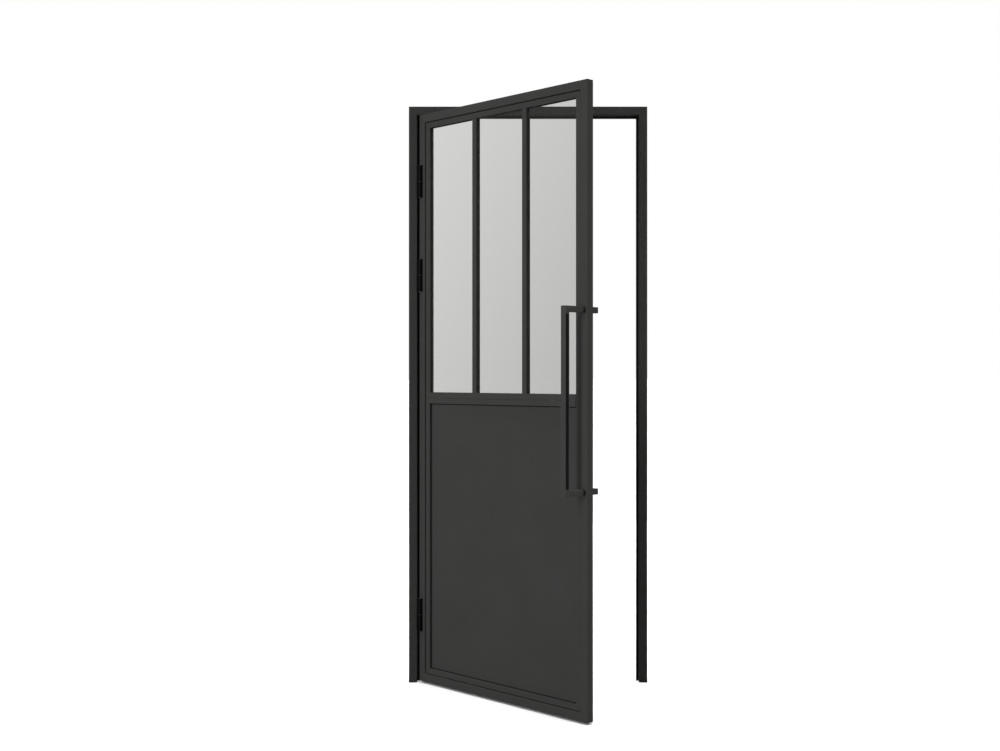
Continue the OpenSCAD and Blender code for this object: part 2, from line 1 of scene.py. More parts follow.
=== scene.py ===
# %% [markdown]
# # A black metal door with a glazed upper half
#
# A real door of this kind comes as two things that are bolted together: a three-sided frame that is
# screwed to the wall, and a leaf that hangs in it on three hinges. All of that has an exact size, so it
# was drawn first, in a CAD program. This script starts by loading those parts as a fixed frame and then
# does what Blender is good at: it gives every surface the finish of the real thing, adds the small
# rounded edges and soft rubber that a CAD drawing leaves out, and sets up a plain studio around it.
#
# Nothing that was loaded is moved or resized. A part is either given a material, or hidden and replaced
# by a better mesh that is built from it, so the two always lie in the same place. The few pieces that
# the drawing doesn't have are measured from its parts too.

# %% Load the door
import json
import math

import bmesh
import bpy
from mathutils import Matrix, Vector


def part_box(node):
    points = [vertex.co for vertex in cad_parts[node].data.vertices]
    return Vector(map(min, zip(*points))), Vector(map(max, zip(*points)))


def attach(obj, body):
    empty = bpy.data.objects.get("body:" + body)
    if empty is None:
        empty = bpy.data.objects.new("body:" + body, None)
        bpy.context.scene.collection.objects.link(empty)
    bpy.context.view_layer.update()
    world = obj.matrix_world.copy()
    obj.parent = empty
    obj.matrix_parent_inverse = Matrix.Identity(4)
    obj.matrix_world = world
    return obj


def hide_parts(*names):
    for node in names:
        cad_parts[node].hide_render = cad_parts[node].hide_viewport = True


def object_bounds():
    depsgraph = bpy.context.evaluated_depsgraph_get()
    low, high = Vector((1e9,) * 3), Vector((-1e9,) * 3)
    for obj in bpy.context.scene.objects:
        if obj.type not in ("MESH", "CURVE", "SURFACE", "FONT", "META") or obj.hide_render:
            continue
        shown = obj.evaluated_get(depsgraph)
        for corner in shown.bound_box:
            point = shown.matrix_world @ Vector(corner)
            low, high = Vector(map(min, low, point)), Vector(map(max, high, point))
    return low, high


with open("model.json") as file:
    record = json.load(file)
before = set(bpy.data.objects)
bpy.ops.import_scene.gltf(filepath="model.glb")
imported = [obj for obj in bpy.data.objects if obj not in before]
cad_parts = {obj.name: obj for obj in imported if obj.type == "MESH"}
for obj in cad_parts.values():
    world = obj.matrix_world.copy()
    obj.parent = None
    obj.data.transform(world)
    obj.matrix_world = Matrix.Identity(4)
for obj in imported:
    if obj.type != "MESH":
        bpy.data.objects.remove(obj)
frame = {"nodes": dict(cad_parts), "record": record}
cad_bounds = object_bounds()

nodes = frame["nodes"]
print("box of the door, in metres:", [[round(value, 3) for value in corner] for corner in cad_bounds])

# %% [markdown]
# ## Where things are
#
# Every place in this script is worked out from the loaded parts, so that the looks still fit if the
# drawing changes. The front of the frame is the plane that the camera looks at, and the middle of the
# doorway lies half way between the outer sides of the two jambs.

# %% Read the main places from the parts
MM = 0.001

hinge_low, hinge_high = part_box("hinge_jamb")
lock_low, lock_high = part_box("lock_jamb")
front_y = hinge_low.y
doorway_x = (hinge_low.x + lock_high.x) / 2
door_height = hinge_high.z
print("front face at y =", round(front_y, 4), " middle of the doorway at x =", round(doorway_x, 4))

# %% [markdown]
# ## Colours
#
# A colour picked on a screen is written as a hex value in sRGB, where the steps are even to the eye.
# Light adds up in linear values, and that is what a shader wants. One function turns the first into the
# second, so the rest of the script can name colours the way a paint chart does.

# %% Turn a screen colour into a linear one
def linear(hex_colour, alpha=1.0):
    channels = [int(hex_colour[i:i + 2], 16) / 255 for i in (1, 3, 5)]
    return [c / 12.92 if c <= 0.04045 else ((c + 0.055) / 1.055) ** 2.4 for c in channels] + [alpha]


print("mid grey is", round(linear("#808080")[0], 3), "in linear light")

# %% [markdown]
# ## Building materials from nodes
#
# A material is a small graph. Writing each node by hand takes four lines, so one helper adds a node,
# sets its properties, fills its inputs and links them. A value that is another node's output becomes a
# link, and any other value is set on the socket itself. Inputs are picked by name, or by number where
# two of them share a name. Two more helpers start and finish a material, and the last one turns a real
# size into the scale of a texture.

# %% Helpers for node graphs
def add(tree, kind, inputs=None, **settings):
    made = tree.nodes.new(kind)
    for name, value in settings.items():
        setattr(made, name, value)
    for name, value in (inputs or {}).items():
        if isinstance(value, bpy.types.NodeSocket):
            tree.links.new(value, made.inputs[name])
        else:
            made.inputs[name].default_value = value
    return made


def start_material(name):
    material = bpy.data.materials.new(name)
    material.use_nodes = True
    tree = material.node_tree
    tree.nodes.clear()
    return material, tree


def finish_material(tree, shader):
    add(tree, "ShaderNodeOutputMaterial", {"Surface": shader.outputs[0]})


def per_metre(size_mm):
    return 1 / (size_mm * MM)


print("a 2 mm grain is a texture scale of", per_metre(2))

# %% [markdown]
# ## Powder coat
#
# The frame, the leaf and the handle are aluminium sprayed with dry paint powder and baked at about
# 200 °C. The powder melts into a skin a tenth of a millimetre thick that never flows quite flat: it keeps
# a faint orange-peel ripple, about three millimetres from crest to crest. That ripple, and a fine matte
# texture on top of it, is why such a black looks soft grey in the light and never mirrors anything.
#
# It could be done with a plain dark colour and a high roughness, but then large faces look like card.
# Instead three noises at three sizes are used: a slow drift in tone over a hand's length, the
# orange peel as a bump, and a fine grain in the roughness. The real grain is about 0.2 mm. That is
# too fine to show at this distance, so it is drawn at 1.2 mm.

# %% Powder-coated aluminium
PEEL_MM = 3.0
GRAIN_MM = 1.2
DRIFT_MM = 180.0
DRIFT_LOW = 0.3
DRIFT_HIGH = 0.7
PEEL_STRENGTH = 0.12
PEEL_DEPTH_MM = 0.15
COAT_SWING = 0.06
PLASTIC_IOR = 1.5


def powder_coat(name, light_hex, dark_hex, roughness, specular):
    material, tree = start_material(name)
    place = add(tree, "ShaderNodeTexCoord").outputs["Object"]
    drift = add(tree, "ShaderNodeTexNoise", {"Vector": place, "Scale": per_metre(DRIFT_MM), "Detail": 3.0})
    grain = add(tree, "ShaderNodeTexNoise", {"Vector": place, "Scale": per_metre(GRAIN_MM), "Detail": 2.0})
    peel = add(tree, "ShaderNodeTexNoise", {"Vector": place, "Scale": per_metre(PEEL_MM), "Detail": 1.0})
    tone = add(tree, "ShaderNodeMapRange",
               {"Value": drift.outputs["Fac"], "From Min": DRIFT_LOW, "From Max": DRIFT_HIGH})
    colour = add(tree, "ShaderNodeMix", {"Factor": tone.outputs["Result"], "A": linear(dark_hex),
                                         "B": linear(light_hex)}, data_type="RGBA")
    rough = add(tree, "ShaderNodeMapRange",
                {"Value": grain.outputs["Fac"],
                 "To Min": roughness - COAT_SWING, "To Max": roughness + COAT_SWING})
    bump = add(tree, "ShaderNodeBump", {"Height": peel.outputs["Fac"], "Strength": PEEL_STRENGTH,
                                        "Distance": PEEL_DEPTH_MM * MM})
    paint = add(tree, "ShaderNodeBsdfPrincipled",
                {"Base Color": colour.outputs["Result"], "Roughness": rough.outputs["Result"],
                 "IOR": PLASTIC_IOR, "Specular IOR Level": specular, "Normal": bump.outputs["Normal"]})
    finish_material(tree, paint)
    return material


# All four are one black powder coat. The frame's copy is darker and less shiny than the leaf's: painted
# shade, for the lesser light that falls on the frame. The handle's copy is a touch lighter: painted light
# on the handle.
frame_coat_painted_shade = powder_coat("powder_coat_frame_painted_shade", "#313130", "#2e2e2d", roughness=0.6, specular=0.12)
leaf_coat = powder_coat("powder_coat_leaf", "#393938", "#363635", roughness=0.6, specular=0.2)
panel_coat = powder_coat("powder_coat_panel", "#393938", "#363635", roughness=0.62, specular=0.2)
handle_coat_painted_light = powder_coat("powder_coat_handle_painted_light", "#3b3b3a", "#383837", roughness=0.55, specular=0.2)
print("powder coats:", frame_coat_painted_shade.name, leaf_coat.name, panel_coat.name, handle_coat_painted_light.name)

# %% [markdown]
# ## Black steel for the hinges
#
# Hinges are turned and folded from steel, then dipped in a thin black electro-coat. It is a little
# smoother than powder coat, because the film is only a fiftieth of a millimetre thick and shows the
# metal's own fine marks. Its colour is blacker than the powder coat's, with hardly any shine: partly the
# coat's own black and partly painted shade, for the shade in the gap between the jamb and the leaf where
# the hinges sit. A plain gloss value would look like plastic, so one noise of the size of those marks
# drives both the roughness and a slight bump.

# %% Electro-coated steel
MARKS_MM = 1.5
MARKS_STRENGTH = 0.08
MARKS_DEPTH_MM = 0.1
DIPPED_SWING = 0.08


def dipped_steel(name, hex_colour, roughness, specular):
    material, tree = start_material(name)
    place = add(tree, "ShaderNodeTexCoord").outputs["Object"]
    marks = add(tree, "ShaderNodeTexNoise", {"Vector": place, "Scale": per_metre(MARKS_MM), "Detail": 3.0})
    rough = add(tree, "ShaderNodeMapRange",
                {"Value": marks.outputs["Fac"],
                 "To Min": roughness - DIPPED_SWING, "To Max": roughness + DIPPED_SWING})
    bump = add(tree, "ShaderNodeBump", {"Height": marks.outputs["Fac"], "Strength": MARKS_STRENGTH,
                                        "Distance": MARKS_DEPTH_MM * MM})
    skin = add(tree, "ShaderNodeBsdfPrincipled",
               {"Base Color": linear(hex_colour), "Roughness": rough.outputs["Result"],
                "IOR": PLASTIC_IOR, "Specular IOR Level": specular, "Normal": bump.outputs["Normal"]})
    finish_material(tree, skin)
    return material


# Near black with little shine: partly the coat's own colour, partly painted shade of the gap at the
# hinges.
hinge_steel = dipped_steel("dipped_black_steel_and_painted_shade", "#080808", roughness=0.5, specular=0.06)
screw_steel = dipped_steel("dipped_black_screws", "#101010", roughness=0.45, specular=0.15)
print("dipped steels:", hinge_steel.name, screw_steel.name)

# %% [markdown]
# ## Bright steel and bare castings
#
# Pins and bolts are ground or plated steel. Grinding leaves fine lines, so the roughness comes from a
# noise that is stretched along the upright axis, the way a hinge pin is drawn through the wheel.

# %% Ground steel
LINES_MM = 0.6
LINES_STRETCH = 0.05
LINES_STRENGTH = 0.1
LINES_DEPTH_MM = 0.05


def ground_steel(name, hex_colour, roughness):
    material, tree = start_material(name)
    place = add(tree, "ShaderNodeTexCoord").outputs["Object"]
    stretched = add(tree, "ShaderNodeMapping", {"Vector": place, "Scale": (1.0, 1.0, LINES_STRETCH)})
    lines = add(tree, "ShaderNodeTexNoise",
                {"Vector": stretched.outputs["Vector"], "Scale": per_metre(LINES_MM), "Detail": 2.0})
    rough = add(tree, "ShaderNodeMapRange", {"Value": lines.outputs["Fac"],
                                             "To Min": roughness - 0.08, "To Max": roughness + 0.1})
    bump = add(tree, "ShaderNodeBump", {"Height": lines.outputs["Fac"], "Strength": LINES_STRENGTH,
                                        "Distance": LINES_DEPTH_MM * MM})
    metal = add(tree, "ShaderNodeBsdfPrincipled",
                {"Base Color": linear(hex_colour), "Metallic": 1.0, "Roughness": rough.outputs["Result"],
                 "Normal": bump.outputs["Normal"]})
    finish_material(tree, metal)
    return material


bright_steel = ground_steel("ground_bright_steel", "#b9b9b7", roughness=0.32)
magnet_plate = ground_steel("nickel_plated_magnet", "#c9c6bf", roughness=0.22)
print("ground metals:", bright_steel.name, magnet_plate.name)

# %% [markdown]
# ## Bare castings
#
# The corner pieces inside the frame and the leaf are die-cast in zinc alloy and never painted. A casting
# takes the skin of its mould: dull, and grainy at about a millimetre. So its roughness is one high value,
# and the grain is a bump.

# %% Die-cast alloy
CAST_GRAIN_MM = 1.0
CAST_STRENGTH = 0.25
CAST_DEPTH_MM = 0.1


def die_cast(name, hex_colour):
    material, tree = start_material(name)
    place = add(tree, "ShaderNodeTexCoord").outputs["Object"]
    skin = add(tree, "ShaderNodeTexNoise",
               {"Vector": place, "Scale": per_metre(CAST_GRAIN_MM), "Detail": 4.0})
    bump = add(tree, "ShaderNodeBump", {"Height": skin.outputs["Fac"], "Strength": CAST_STRENGTH,
                                        "Distance": CAST_DEPTH_MM * MM})
    metal = add(tree, "ShaderNodeBsdfPrincipled",
                {"Base Color": linear(hex_colour), "Metallic": 1.0, "Roughness": 0.5,
                 "Normal": bump.outputs["Normal"]})
    finish_material(tree, metal)
    return material


cast_alloy = die_cast("die_cast_zinc_alloy", "#8e8f91")
print("cast metal:", cast_alloy.name)

# %% [markdown]
# ## Rubber and nylon
#
# The seals on the stop and the gaskets round the glass are extruded EPDM rubber: nearly black and
# chalky, with hardly any shine. The washers, the spacers and the catch's case are moulded nylon, a
# little smoother and with a faint grain. One function makes them all from a colour, a roughness, the
# size and depth of the grain, and how strongly the surface shines. The tape behind the panel
# is a closed-cell foam, so its grain is the deepest.

# %% Extruded rubber, moulded nylon
MOULDED_STRENGTH = 0.2
MOULDED_SWING = 0.05


def moulded(name, hex_colour, roughness, grain_mm, depth_mm, specular):
    material, tree = start_material(name)
    place = add(tree, "ShaderNodeTexCoord").outputs["Object"]
    grain = add(tree, "ShaderNodeTexNoise", {"Vector": place, "Scale": per_metre(grain_mm), "Detail": 3.0})
    rough = add(tree, "ShaderNodeMapRange",
                {"Value": grain.outputs["Fac"],
                 "To Min": roughness - MOULDED_SWING, "To Max": roughness + MOULDED_SWING})
    bump = add(tree, "ShaderNodeBump", {"Height": grain.outputs["Fac"], "Strength": MOULDED_STRENGTH,
                                        "Distance": depth_mm * MM})
    body = add(tree, "ShaderNodeBsdfPrincipled",
               {"Base Color": linear(hex_colour), "Roughness": rough.outputs["Result"],
                "IOR": PLASTIC_IOR, "Specular IOR Level": specular, "Normal": bump.outputs["Normal"]})
    finish_material(tree, body)
    return material


seal_rubber = moulded("extruded_epdm_rubber", "#0b0b0b", roughness=0.78, grain_mm=1.5,
                      depth_mm=0.1, specular=0.15)
foam_tape = moulded("closed_cell_foam_tape", "#161616", roughness=0.9, grain_mm=0.8,
                    depth_mm=0.2, specular=0.1)
nylon = moulded("moulded_black_nylon", "#121212", roughness=0.5, grain_mm=0.8,
                depth_mm=0.05, specular=0.3)
print("soft materials:", seal_rubber.name, foam_tape.name, nylon.name)

# %% [markdown]
# ## Glass
#
# The panes are 4 mm float glass with a light grey tint. Glass bends light on the way in and back on the
# way out, so a flat pane hardly shifts what is behind it; what the eye reads as glass is the tint and a
# weak reflection that grows towards a low angle. A physical glass shader gives both, and a very wide,
# faint bump stands for the slight waviness that even float glass has. The shader has one trouble:
# lamps don't shine through it in a path tracer without a lot of noise. So for shadow rays only, it is
# swapped for a see-through shader of the same tint.

# %% Grey float glass
GLASS_TINT = "#e2e3e0"
GLASS_IOR = 1.52
WAVE_MM = 400.0
WAVE_STRENGTH = 0.02
WAVE_DEPTH_MM = 1


def float_glass(name):
    material, tree = start_material(name)
    tint = linear(GLASS_TINT)
    place = add(tree, "ShaderNodeTexCoord").outputs["Object"]
    waves = add(tree, "ShaderNodeTexNoise", {"Vector": place, "Scale": per_metre(WAVE_MM), "Detail": 1.0})
    bump = add(tree, "ShaderNodeBump", {"Height": waves.outputs["Fac"], "Strength": WAVE_STRENGTH,
                                        "Distance": WAVE_DEPTH_MM * MM})
    solid = add(tree, "ShaderNodeBsdfPrincipled",
                {"Base Color": tint, "Roughness": 0.0, "IOR": GLASS_IOR, "Transmission Weight": 1.0,
                 "Normal": bump.outputs["Normal"]})
    clear = add(tree, "ShaderNodeBsdfTransparent", {"Color": tint})
    path = add(tree, "ShaderNodeLightPath")
    either = add(tree, "ShaderNodeMixShader",
                 {0: path.outputs["Is Shadow Ray"], 1: solid.outputs["BSDF"], 2: clear.outputs["BSDF"]})
    finish_material(tree, either)
    return material


glass = float_glass("grey_float_glass")
print("glass tint in linear light:", [round(c, 3) for c in linear(GLASS_TINT)[:3]])

# %% [markdown]
# ## Giving the parts their finishes
#
# Each loaded part already has a slot name from the drawing's record, such as the hinge steel. One table
# from slot name to material is enough to dress the whole door, and a part that is added later with
# a known slot gets its finish by itself.

# %% Dress every part
FINISHES = {
    "frame_powder_coat": frame_coat_painted_shade,
    "leaf_powder_coat": leaf_coat,
    "panel_sheet": panel_coat,
    "handle_powder_coat": handle_coat_painted_light,
    "hinge_steel": hinge_steel,
    "black_screws": screw_steel,
    "clear_glass": glass,
    "black_rubber": seal_rubber,
    "foam_tape": foam_tape,
    "bright_steel": bright_steel,
    "bearing_nylon": nylon,
    "black_nylon": nylon,
    "cast_alloy": cast_alloy,
    "magnet_plating": magnet_plate,
}
slot_of = {entry["node"]: entry["material_slot"] for entry in frame["record"]["subparts"]}


def dress(piece, material):
    if not piece.material_slots:
        piece.data.materials.append(material)
    for slot in piece.material_slots:
        slot.material = material


for name, part in nodes.items():
    dress(part, FINISHES[slot_of[name]])
print("dressed", len(nodes), "parts with", len(set(slot_of.values())), "finishes")

# %% [markdown]
# ## Building the leaf's pieces as if the door were shut
#
# The door was drawn with its leaf standing open, so everything on the leaf lies at an odd angle. A pull
# handle is far easier to build square to the axes. The record names the hinge axis and how far the leaf
# is from shut, so one matrix swings a finished piece from the shut place to the drawn one.

# %% The swing of the leaf, and boxes measured with the door shut
hinge_joint = frame["record"]["behaviour"]["joints"][0]
pivot = Vector(hinge_joint["pos_m"])
turn = Matrix.Rotation(math.radians(hinge_joint["range_deg"][0]), 4, Vector(hinge_joint["axis"]))
to_shut = Matrix.Translation(pivot) @ turn @ Matrix.Translation(-pivot)
to_drawn = to_shut.inverted()


def box_of(points):
    low = Vector([min(point[i] for point in points) for i in range(3)])
    high = Vector([max(point[i] for point in points) for i in range(3)])
    return low, high


def shut_box(name):
    return box_of([to_shut @ vertex.co for vertex in nodes[name].data.vertices])


print("the leaf is drawn", -hinge_joint["range_deg"][0], "degrees from shut")

# %% [markdown]
# Three small tools make every shape. A circle is a ring of points, and it can be given six soft lobes. A
# skin joins a row of rings with the same number of points, which makes anything turned or extruded. A
# block is a box with rounded edges.

# %% Circles, blocks and skins
CIRCLE_STEPS = 48
LOBES = 6


def circle(radius, x, y, z, lobe=0.0):
    points = []
    for i in range(CIRCLE_STEPS):
        angle = 2 * math.pi * i / CIRCLE_STEPS
        reach = radius * (1 + lobe * math.cos(LOBES * angle))
        points.append((x + reach * math.cos(angle), y + reach * math.sin(angle), z))
    return points


def add_block(bm, low, high, rounding):
    corners = bmesh.ops.create_cube(bm, size=1.0)["verts"]
    bmesh.ops.scale(bm, vec=high - low, verts=corners)
    bmesh.ops.translate(bm, vec=(low + high) / 2, verts=corners)
    edges = list(dict.fromkeys(edge for corner in corners for edge in corner.link_edges))
    bmesh.ops.bevel(bm, geom=edges, offset=rounding, segments=3, profile=0.5, affect="EDGES")


def add_skin(bm, rings):
    rows = [[bm.verts.new(point) for point in ring] for ring in rings]
    for row, above in zip(rows, rows[1:]):
        for i in range(len(row)):
            j = (i + 1) % len(row)
            bm.faces.new((row[i], row[j], above[j], above[i]))
    bm.faces.new(rows[0][::-1])
    bm.faces.new(rows[-1])


print("a circle has", len(circle(1.0, 0.0, 0.0, 0.0)), "points")

# %% [markdown]
# One more tool turns a mesh into a piece of the door. It swings leaf pieces to their drawn place, smooths
# the faces that meet at a low angle, gives the finish, hangs the piece on the body it moves with, and
# hides the drawn parts it stands for.

# %% Turn a mesh into a piece of the door
SHARP_DEGREES = 40


def make_piece(bm, name, body, material_slot, *replaced):
    if body == "leaf":
        bmesh.ops.transform(bm, matrix=to_drawn, verts=bm.verts)
    bmesh.ops.recalc_face_normals(bm, faces=bm.faces)
    mesh = bpy.data.meshes.new(name)
    bm.to_mesh(mesh)
    bm.free()
    mesh.shade_smooth()
    mesh.set_sharp_from_angle(angle=math.radians(SHARP_DEGREES))
    piece = bpy.data.objects.new(name, mesh)
    bpy.context.scene.collection.objects.link(piece)
    dress(piece, FINISHES[material_slot])
    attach(piece, body)
    if replaced:
        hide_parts(*replaced)
    print("made", name, "with", len(mesh.polygons), "faces")


print("edges sharper than", SHARP_DEGREES, "degrees stay crisp")

# %% [markdown]
# ## The pull handle
#
# The handle is a 20 mm square tube, sawn at 45° at both bends, welded, and ground smooth before it was
# coated. The edges of an extruded tube are never quite sharp: they have a radius of a millimetre
# or so, and it is that radius which draws the thin light line along a black handle.
#
# It could be an extruded U, but here it is swept: one square ring at each end and one on each mitre.
# That keeps the four long faces as clean strips, which take an even rounding. The side of the grip that
# faces the leaf's free edge has a shallow recess, in which a strip of black rubber lies. That strip is
# painted shade: it makes that side of the grip as dark as the shade on it.

# %% The handle tube
TUBE_MM = 20
TUBE_RADIUS_MM = 1.2
TUBE_EDGE_DEGREES = 30
SQUARE_ON = 0.99
RECESS_MARGIN_MM = 2.0
RECESS_DEPTH_MM = 0.8
RECESS_END_MM = 26
SPACER_MM = 13

grip_low, grip_high = shut_box("pull_handle")


def build_handle():
    side = TUBE_MM * MM
    arm_end = grip_high.y - SPACER_MM * MM
    bm = bmesh.new()
    outside = [(arm_end, grip_low.z), (grip_low.y, grip_low.z),
               (grip_low.y, grip_high.z), (arm_end, grip_high.z)]
    inside = [(arm_end, grip_low.z + side), (grip_low.y + side, grip_low.z + side),
              (grip_low.y + side, grip_high.z - side), (arm_end, grip_high.z - side)]
    rings = []
    for (outer_y, outer_z), (inner_y, inner_z) in zip(outside, inside):
        rings.append([(grip_low.x, outer_y, outer_z), (grip_high.x, outer_y, outer_z),
                      (grip_high.x, inner_y, inner_z), (grip_low.x, inner_y, inner_z)])
    add_skin(bm, rings)
    bmesh.ops.recalc_face_normals(bm, faces=bm.faces)
    sharp = [edge for edge in bm.edges if edge.calc_face_angle(0.0) > math.radians(TUBE_EDGE_DEGREES)]
    bmesh.ops.bevel(bm, geom=sharp, offset=TUBE_RADIUS_MM * MM, segments=4, profile=0.5,
                    affect="EDGES")
    bm.faces.ensure_lookup_table()
    facing = [face for face in bm.faces if face.normal.x > SQUARE_ON]
    grip_side = max(facing, key=lambda face: face.calc_area())
    bmesh.ops.inset_individual(bm, faces=[grip_side], thickness=RECESS_MARGIN_MM * MM)
    middle_z = (grip_low.z + grip_high.z) / 2
    half = (grip_high.z - grip_low.z) / 2 - RECESS_END_MM * MM
    for corner in grip_side.verts:
        corner.co.z = middle_z + math.copysign(half, corner.co.z - middle_z)
    floor_face = bmesh.ops.extrude_discrete_faces(bm, faces=[grip_side])["faces"][0]
    for corner in floor_face.verts:
        corner.co.x -= RECESS_DEPTH_MM * MM
    recess = box_of([corner.co for corner in floor_face.verts])
    make_piece(bm, "rounded_pull_handle", "leaf", "handle_powder_coat", "pull_handle")
    return recess


recess_low, recess_high = build_handle()

# %% [markdown]
# A round black spacer sits between each arm and the leaf. It is turned from nylon, and it is painted
# shade: a black collar where the contact shade gathers at the foot of each arm. It is skinned from rings
# up its own axis, with a small rounding at both rims.

# %% The two spacers
SPACER_RADIUS_MM = 9.8
SPACER_RIM_MM = 0.6
SPACER_RIM_MIDDLE_MM = 0.18


def build_shade_spacers():
    bm = bmesh.new()
    arm_end = grip_high.y - SPACER_MM * MM
    radius = SPACER_RADIUS_MM * MM
    rim = SPACER_RIM_MM * MM
    soft = SPACER_RIM_MIDDLE_MM * MM
    steps = [(radius - rim, arm_end), (radius - soft, arm_end + soft), (radius, arm_end + rim),
             (radius, grip_high.y - rim), (radius - soft, grip_high.y - soft),
             (radius - rim, grip_high.y)]
    middle_x = (grip_low.x + grip_high.x) / 2
    for z in (grip_low.z + TUBE_MM * MM / 2, grip_high.z - TUBE_MM * MM / 2):
        rings = []
        for reach, y in steps:
            rings.append([(middle_x + a, y, z + b) for a, b, _ in circle(reach, 0.0, 0.0, 0.0)])
        add_skin(bm, rings)
    # Painted shade: black collars for the contact shade at the arms' feet.
    make_piece(bm, "arm_shade_spacers", "leaf", "black_nylon")


build_shade_spacers()

# %% [markdown]
# The strip is an extruded rubber profile, cut to length and glued into the recess. It is painted shade:
# a black strip where that side of the grip is in shade. Its face has three low ribs. The ribs run the
# full length, so the cross-section is drawn once and skinned from the bottom end to the top end.

# %% The rubber strip in the grip
STRIP_RIBS = 3
STRIP_POINTS = 25
STRIP_PLAY_MM = 0.05
STRIP_GLUE_MM = 0.02
STRIP_BODY_MM = 0.35
RIB_MM = 0.35


def build_shade_strip():
    bm = bmesh.new()
    play = STRIP_PLAY_MM * MM
    bottom = recess_low.x + STRIP_GLUE_MM * MM
    y0 = recess_low.y + play
    y1 = recess_high.y - play
    outline = [(bottom, y1), (bottom, y0)]
    for i in range(STRIP_POINTS):
        along = i / (STRIP_POINTS - 1)
        ripple = 0.5 - 0.5 * math.cos(2 * math.pi * STRIP_RIBS * along)
        outline.append((bottom + (STRIP_BODY_MM + RIB_MM * ripple) * MM, y0 + (y1 - y0) * along))
    rings = []
    for z in (recess_low.z + play, recess_high.z - play):
        rings.append([(x, y, z) for x, y in outline])
    add_skin(bm, rings)
    # Painted shade: a black strip standing in for the shade on the grip's side.
    make_piece(bm, "grip_shade_strip", "leaf", "black_rubber")


build_shade_strip()

# %% [markdown]
# ## The seals on the stop
#
# A flush door closes against a soft strip, so that it doesn't clatter and no light shows. The strip is an
# extruded rubber lip: a flat foot that is pushed or glued on the stop, and a bowed lip that the leaf
# presses flat. Drawn as a plain bar it would read as metal. Here the cross-section has the thin foot
# and the bowed lip of the real one, and is skinned along each side of the frame. Where an upright
# meets the head, both are cut at 45°.

# %% The three lipped seals
SEAL_ACROSS_MM = 6
FOOT_MM = 0.5
FOOT_TO_LIP_MM = [(SEAL_ACROSS_MM - 0.6, 0.7)]
LIP_TO_FOOT_MM = [(0.9, 0.62)]
LIP_MIDDLE_MM = (3.3, 0.8)
LIP_REACH_MM = (1.9, 1.15)
SEAL_LIP_STEPS = 10


def seal_outline():
    points = [(0.0, 0.0), (SEAL_ACROSS_MM, 0.0), (SEAL_ACROSS_MM, FOOT_MM)] + FOOT_TO_LIP_MM
    for i in range(SEAL_LIP_STEPS + 1):
        angle = math.pi * i / SEAL_LIP_STEPS
        points.append((LIP_MIDDLE_MM[0] + LIP_REACH_MM[0] * math.cos(angle),
                       LIP_MIDDLE_MM[1] + LIP_REACH_MM[1] * math.sin(angle)))
    return points + LIP_TO_FOOT_MM + [(0.0, FOOT_MM)]


def build_seal(node, place_low, place_high):
    low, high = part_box(node)
    bm = bmesh.new()
    rings = []
    for place in (place_low, place_high):
        rings.append([place(low, high, across * MM, high.y - out * MM) for across, out in seal_outline()])
    add_skin(bm, rings)
    make_piece(bm, "lipped_" + node, "frame", "black_rubber", node)


build_seal("hinge_jamb_seal",
           lambda low, high, across, y: (low.x + across, y, low.z),
           lambda low, high, across, y: (low.x + across, y, high.z - across))
build_seal("lock_jamb_seal",
           lambda low, high, across, y: (high.x - across, y, low.z),
           lambda low, high, across, y: (high.x - across, y, high.z - across))
build_seal("head_seal",
           lambda low, high, across, y: (low.x + across, y, high.z - across),
           lambda low, high, across, y: (high.x - across, y, high.z - across))

# %% [markdown]
# ## The gasket lips
#
# The panes are pressed against the bars from behind, with a rubber gasket between. On a real door a
# soft lip of that gasket rolls out into the corner, where it hides the cut edge and keeps dust out. Here
# the black lip is partly that gasket and partly painted shade: it draws the crisp dark line of shade in
# the corner round every pane. The lip is a small hollow-cheeked wedge, skinned along the four sides of
# each opening, with a mitre at each corner. It is wider round the panel as painted shade: a dark margin
# for the shade that falls along the panel's edges.

# %% The lips round the panes and the panel
GLASS_LIP_MM = 1.4
PANEL_SHADE_LIP_MM = 3.0
LIP_STEPS = 4

stile_edge = shut_box("hinge_stile")[1].x
lock_edge = shut_box("lock_stile")[0].x
top_edge = shut_box("top_rail")[0].z
sill_edge = shut_box("upper_mid_rail")[1].z
panel_top = shut_box("lower_mid_rail")[0].z
panel_foot = shut_box("bottom_rail")[1].z
mullions = [shut_box("left_mullion"), shut_box("right_mullion")]


def lip_profile(width):
    profile = [(0.0, 0.0)]
    for i in range(LIP_STEPS + 1):
        angle = math.radians(90 * i / LIP_STEPS)
        profile.append((width * (1 - math.sin(angle)), width * (1 - math.cos(angle))))
    return profile


def add_mitred_strip(bm, x0, x1, z0, z1, face_y, profile):
    corners = [(x0, z0, 1, 1), (x1, z0, -1, 1), (x1, z1, -1, -1), (x0, z1, 1, -1)]
    rings = []
    for x, z, inward, upward in corners:
        rings.append([(x + inward * across, face_y - out, z + upward * across) for across, out in profile])
    for i in range(4):
        add_skin(bm, [rings[i], rings[(i + 1) % 4]])


def build_shade_lips():
    lefts = [stile_edge] + [high.x for low, high in mullions]
    rights = [low.x for low, high in mullions] + [lock_edge]
    glass_face = shut_box("left_pane")[0].y
    bm = bmesh.new()
    for left, right in zip(lefts, rights):
        add_mitred_strip(bm, left, right, sill_edge, top_edge, glass_face, lip_profile(GLASS_LIP_MM * MM))
    # Black lips round the panes: partly gasket, partly painted shade in the corners.
    make_piece(bm, "pane_gasket_and_shade_lips", "leaf", "black_rubber")
    bm = bmesh.new()
    # The wider panel lip is painted shade along the panel's edges.
    panel_face = shut_box("lower_panel")[0].y
    lip = lip_profile(PANEL_SHADE_LIP_MM * MM)
    add_mitred_strip(bm, stile_edge, lock_edge, panel_foot, panel_top, panel_face, lip)
    make_piece(bm, "panel_painted_shade_lip", "leaf", "black_rubber")


